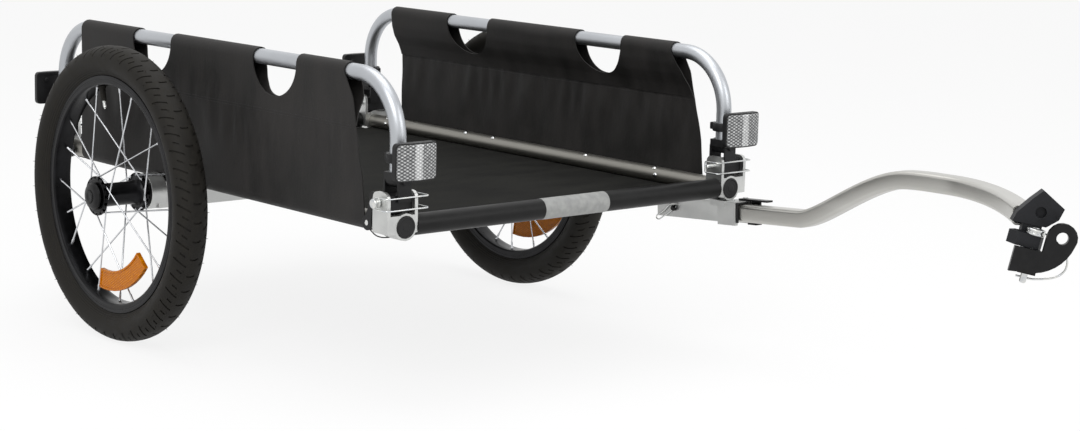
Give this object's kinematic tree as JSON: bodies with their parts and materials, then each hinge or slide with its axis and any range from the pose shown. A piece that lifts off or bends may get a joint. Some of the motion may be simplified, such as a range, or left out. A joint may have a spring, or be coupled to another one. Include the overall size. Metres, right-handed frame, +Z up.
{
  "type": "flatbed bicycle trailer",
  "caption": "Flatbed bicycle trailer with a fabric bed between folding side rails, quick-release spoked wheels, a folding tow bar and a flexible axle hitch.",
  "frame": {"origin": "on the ground, under the middle of the trailer's footprint", "axes": "+X forwards to the bicycle, +Y to the trailer's left, +Z up"},
  "size_m": [1.4678, 0.7924, 0.416],
  "materials": {
    "satin_tube": "satin drawn tube",
    "cast_aluminium": "tumbled casting",
    "bar_aluminium": "clear anodised extrusion",
    "sleeved_tube": "black sleeve over aluminium tube",
    "black_plastic": "moulded glass-filled nylon",
    "black_steel": "black electrophoretic coat",
    "black_alloy": "black anodised alloy",
    "elastomer": "moulded polyurethane",
    "tyre_rubber": "moulded rubber",
    "side_cloth": "coated polyester weave",
    "floor_cloth": "coated tarpaulin",
    "zinc_steel": "bright zinc plate",
    "spoke_steel": "drawn stainless wire",
    "clear_reflector": "clear prismatic lens in a black housing",
    "red_reflector": "red prismatic lens in a black housing",
    "amber_reflector": "amber prismatic lens"
  },
  "bodies": {
    "bed": {"floor_tube_left": "satin_tube", "floor_tube_right": "satin_tube", "end_cap_left": "black_plastic", "end_cap_right": "black_plastic", "cross_tube_front": "sleeved_tube", "cross_tube_rear": "sleeved_tube", "corner_casting_front_left": "cast_aluminium", "corner_casting_front_right": "cast_aluminium", "corner_casting_rear_left": "cast_aluminium", "corner_casting_rear_right": "cast_aluminium", "rail_foot_front_left": "black_plastic", "rail_foot_front_right": "black_plastic", "rail_foot_rear_left": "black_plastic", "rail_foot_rear_right": "black_plastic", "floor_fabric": "floor_cloth", "axle_beam": "black_plastic", "tow_receiver": "cast_aluminium", "tow_pivot_pin": "black_steel", "tow_latch": "black_steel"},
    "side_left": {"rail_left": "satin_tube", "rail_knuckle_front_left": "black_plastic", "rail_knuckle_rear_left": "black_plastic", "side_fabric_left": "side_cloth", "reflector_front_left": "clear_reflector", "reflector_rear_left": "red_reflector"},
    "side_right": {"rail_right": "satin_tube", "rail_knuckle_front_right": "black_plastic", "rail_knuckle_rear_right": "black_plastic", "side_fabric_right": "side_cloth", "reflector_front_right": "clear_reflector", "reflector_rear_right": "red_reflector"},
    "pin_front_left": {"lock_pin_front_left": "zinc_steel"},
    "pin_front_right": {"lock_pin_front_right": "zinc_steel"},
    "pin_rear_left": {"lock_pin_rear_left": "zinc_steel"},
    "pin_rear_right": {"lock_pin_rear_right": "zinc_steel"},
    "bail_front_left": {"lock_bail_front_left": "zinc_steel"},
    "bail_front_right": {"lock_bail_front_right": "zinc_steel"},
    "bail_rear_left": {"lock_bail_rear_left": "zinc_steel"},
    "bail_rear_right": {"lock_bail_rear_right": "zinc_steel"},
    "axle_left": {"wheel_axle_left": "black_steel"},
    "axle_right": {"wheel_axle_right": "black_steel"},
    "button_left": {"release_button_left": "black_plastic"},
    "button_right": {"release_button_right": "black_plastic"},
    "wheel_left": {"hub_left": "black_alloy", "rim_left": "black_alloy", "tyre_left": "tyre_rubber", "spokes_outer_left": "spoke_steel", "spokes_inner_left": "spoke_steel", "wheel_reflector_left": "amber_reflector"},
    "wheel_right": {"hub_right": "black_alloy", "rim_right": "black_alloy", "tyre_right": "tyre_rubber", "spokes_outer_right": "spoke_steel", "spokes_inner_right": "spoke_steel", "wheel_reflector_right": "amber_reflector"},
    "tow_arm": {"tow_bar": "bar_aluminium", "flex_connector": "elastomer"},
    "hitch": {"hitch_plate": "black_steel"},
    "hitch_lock_pin": {"hitch_pin": "zinc_steel"},
    "hitch_wire": {"hitch_bail": "zinc_steel"}
  },
  "joints": [
    {"name": "side_fold_left", "type": "hinge", "parent": "bed", "child": "side_left", "pos_m": [-0.29489, 0.2755, 0.283], "axis": [1, 0, 0], "range_deg": [0, 88]},
    {"name": "side_fold_right", "type": "hinge", "parent": "bed", "child": "side_right", "pos_m": [-0.29489, -0.2755, 0.283], "axis": [-1, 0, 0], "range_deg": [0, 88]},
    {"name": "lock_pin_front_left_slide", "type": "slide", "parent": "bed", "child": "pin_front_left", "axis": [0, 1, 0], "range_m": [0, 0.0538]},
    {"name": "lock_pin_front_right_slide", "type": "slide", "parent": "bed", "child": "pin_front_right", "axis": [0, -1, 0], "range_m": [0, 0.0538]},
    {"name": "lock_pin_rear_left_slide", "type": "slide", "parent": "bed", "child": "pin_rear_left", "axis": [0, 1, 0], "range_m": [0, 0.0538]},
    {"name": "lock_pin_rear_right_slide", "type": "slide", "parent": "bed", "child": "pin_rear_right", "axis": [0, -1, 0], "range_m": [0, 0.0538]},
    {"name": "lock_bail_front_left_swing", "type": "hinge", "parent": "pin_front_left", "child": "bail_front_left", "pos_m": [0.10161, 0.3083, 0.257], "axis": [0, 0, 1], "range_deg": [0, 150]},
    {"name": "lock_bail_front_right_swing", "type": "hinge", "parent": "pin_front_right", "child": "bail_front_right", "pos_m": [0.10161, -0.3083, 0.257], "axis": [0, 0, -1], "range_deg": [0, 150]},
    {"name": "lock_bail_rear_left_swing", "type": "hinge", "parent": "pin_rear_left", "child": "bail_rear_left", "pos_m": [-0.69139, 0.3083, 0.257], "axis": [0, 0, -1], "range_deg": [0, 150]},
    {"name": "lock_bail_rear_right_swing", "type": "hinge", "parent": "pin_rear_right", "child": "bail_rear_right", "pos_m": [-0.69139, -0.3083, 0.257], "axis": [0, 0, 1], "range_deg": [0, 150]},
    {"name": "wheel_release_left", "type": "slide", "parent": "bed", "child": "axle_left", "axis": [0, 1, 0], "range_m": [0, 0.055]},
    {"name": "wheel_release_right", "type": "slide", "parent": "bed", "child": "axle_right", "axis": [0, -1, 0], "range_m": [0, 0.055]},
    {"name": "release_button_left_press", "type": "slide", "parent": "axle_left", "child": "button_left", "axis": [0, -1, 0], "range_m": [0, 0.0025], "stiffness_N_per_m": 800, "springref_m": -0.001},
    {"name": "release_button_right_press", "type": "slide", "parent": "axle_right", "child": "button_right", "axis": [0, 1, 0], "range_m": [0, 0.0025], "stiffness_N_per_m": 800, "springref_m": -0.001},
    {"name": "wheel_spin_left", "type": "hinge", "parent": "axle_left", "child": "wheel_left", "pos_m": [-0.41739, 0.352, 0.2], "axis": [0, 1, 0], "continuous": true},
    {"name": "wheel_spin_right", "type": "hinge", "parent": "axle_right", "child": "wheel_right", "pos_m": [-0.41739, -0.352, 0.2], "axis": [0, 1, 0], "continuous": true},
    {"name": "tow_bar_fold", "type": "hinge", "parent": "bed", "child": "tow_arm", "pos_m": [0.01961, 0.2855, 0.187], "axis": [0, 1, 0], "range_deg": [0, 175], "deforming": ["tow_latch"]},
    {"name": "hitch_swivel", "type": "hinge", "parent": "tow_arm", "child": "hitch", "pos_m": [0.69269, 0.17551, 0.254], "axis": [0.1391, 0.1545, 0.9781], "range_deg": [-75, 25]},
    {"name": "hitch_pin_slide", "type": "slide", "parent": "hitch", "child": "hitch_lock_pin", "axis": [0.1391, 0.1545, 0.9781], "range_m": [0, 0.0412]},
    {"name": "hitch_bail_swing", "type": "hinge", "parent": "hitch_lock_pin", "child": "hitch_wire", "pos_m": [0.69971, 0.18779, 0.26272], "axis": [0.7431, -0.6691, 0], "range_deg": [0, 100]}
  ],
  "couplings": [
    {"joint": "lock_pin_front_left_slide", "follows": "lock_bail_front_left_swing", "m_per_rad": 0.0205},
    {"joint": "lock_pin_front_right_slide", "follows": "lock_bail_front_right_swing", "m_per_rad": 0.0205},
    {"joint": "lock_pin_rear_left_slide", "follows": "lock_bail_rear_left_swing", "m_per_rad": 0.0205},
    {"joint": "lock_pin_rear_right_slide", "follows": "lock_bail_rear_right_swing", "m_per_rad": 0.0205},
    {"joint": "hitch_pin_slide", "follows": "hitch_bail_swing", "m_per_rad": 0.0236}
  ]
}
